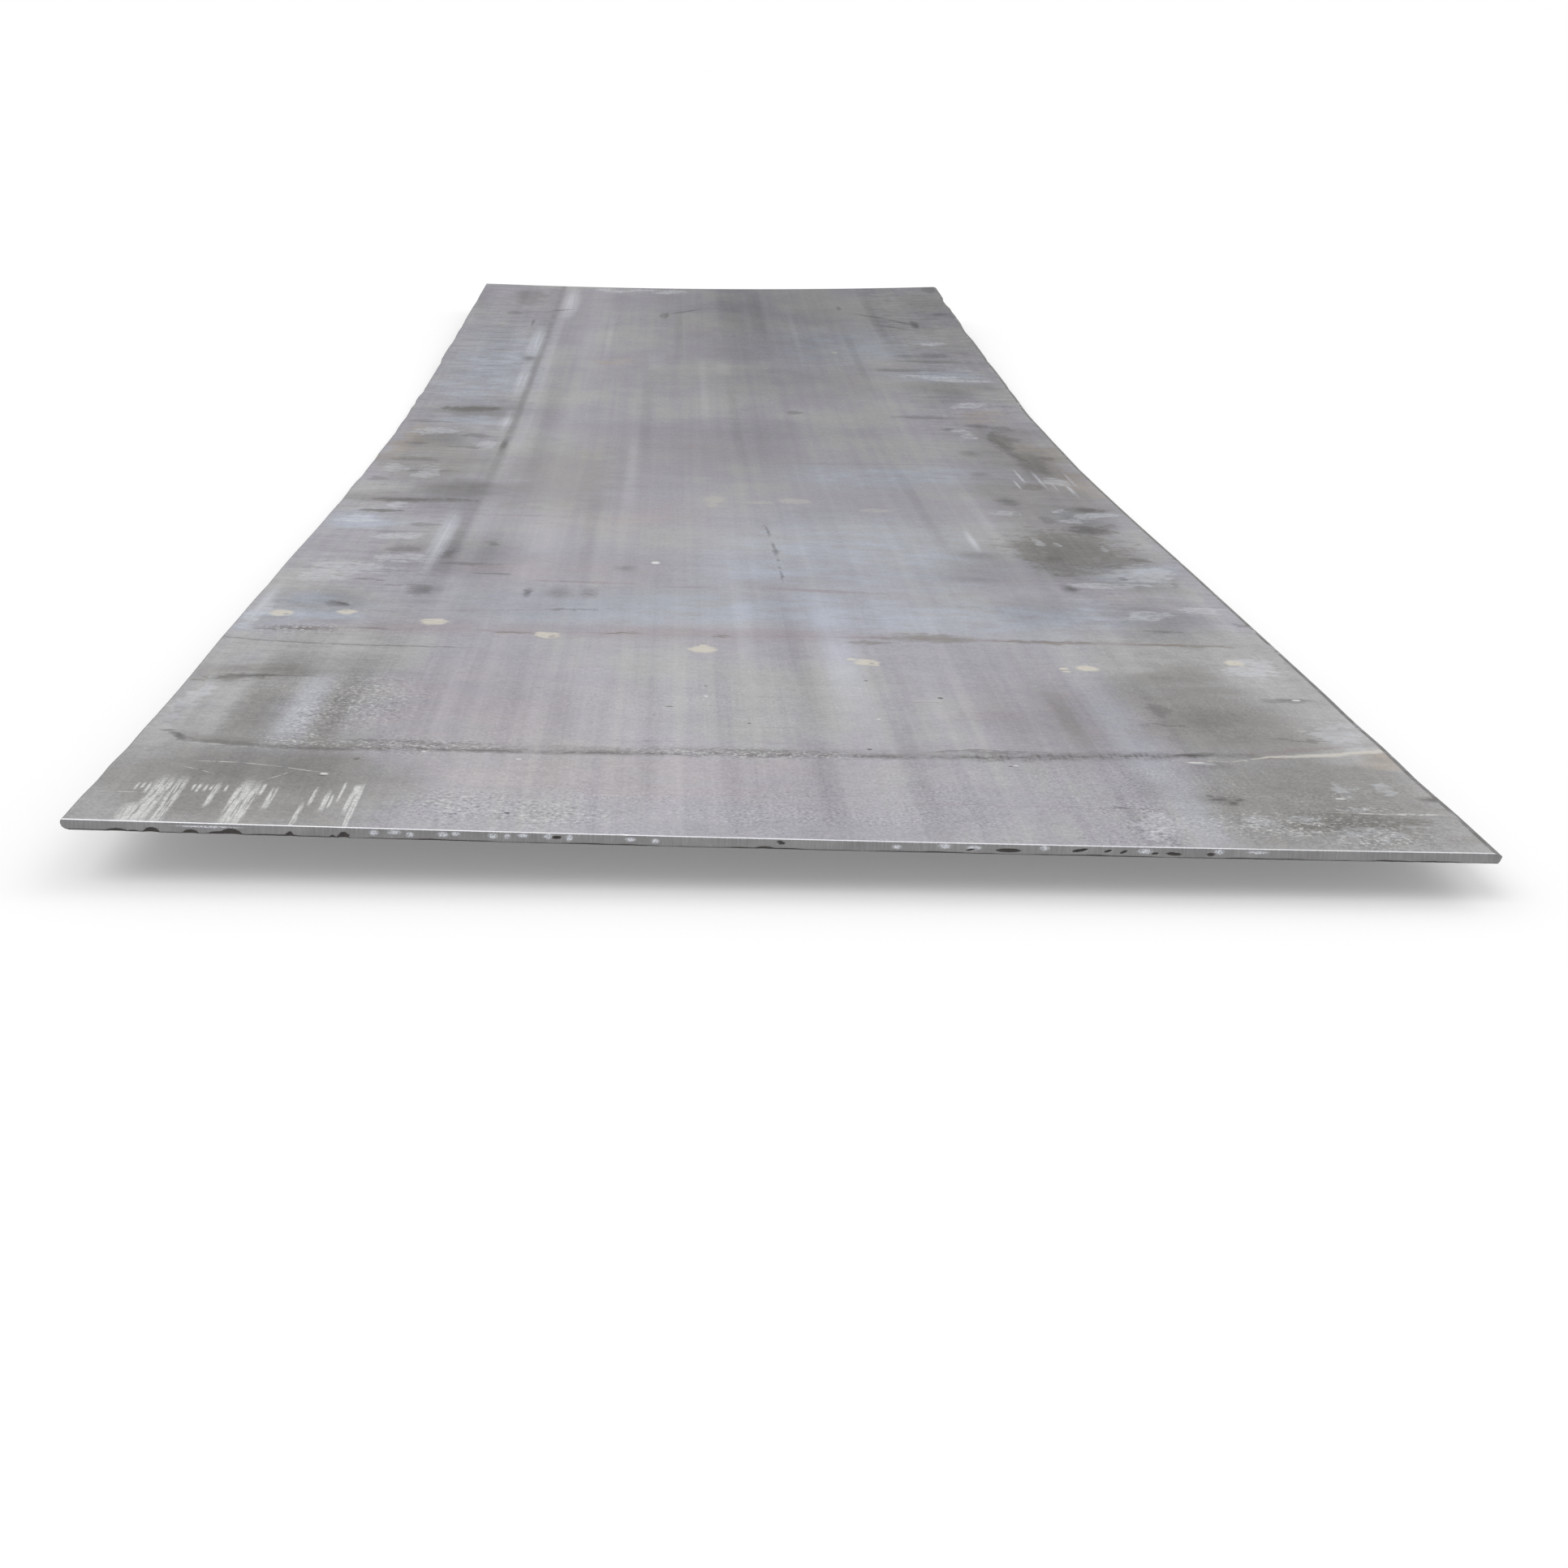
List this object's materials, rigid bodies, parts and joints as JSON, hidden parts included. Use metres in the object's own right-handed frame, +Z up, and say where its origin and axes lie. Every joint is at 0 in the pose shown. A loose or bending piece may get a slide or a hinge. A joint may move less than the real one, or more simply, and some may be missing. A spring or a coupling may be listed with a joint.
{
  "type": "steel plate",
  "caption": "Rectangular hot-rolled carbon steel plate with mill scale, long edges as rolled, ends sheared, and a slight lengthwise bow.",
  "frame": {"origin": "on the floor under the middle of the plate: the bounding box's bottom centre", "axes": "+X across the plate, +Y along the rolling direction from the chipped front end to the cupped rear end, +Z up through the thickness"},
  "size_m": [1.5, 5.9982, 0.117],
  "materials": {
    "mill_scale_steel": "hot-rolled mill scale, satin violet-grey with lengthwise roll streaks, dried spots and brown-olive stains; bright rim and bare grey metal on the sheared ends"
  },
  "bodies": {
    "root": {"steel_plate": "mill_scale_steel"}
  },
  "joints": []
}
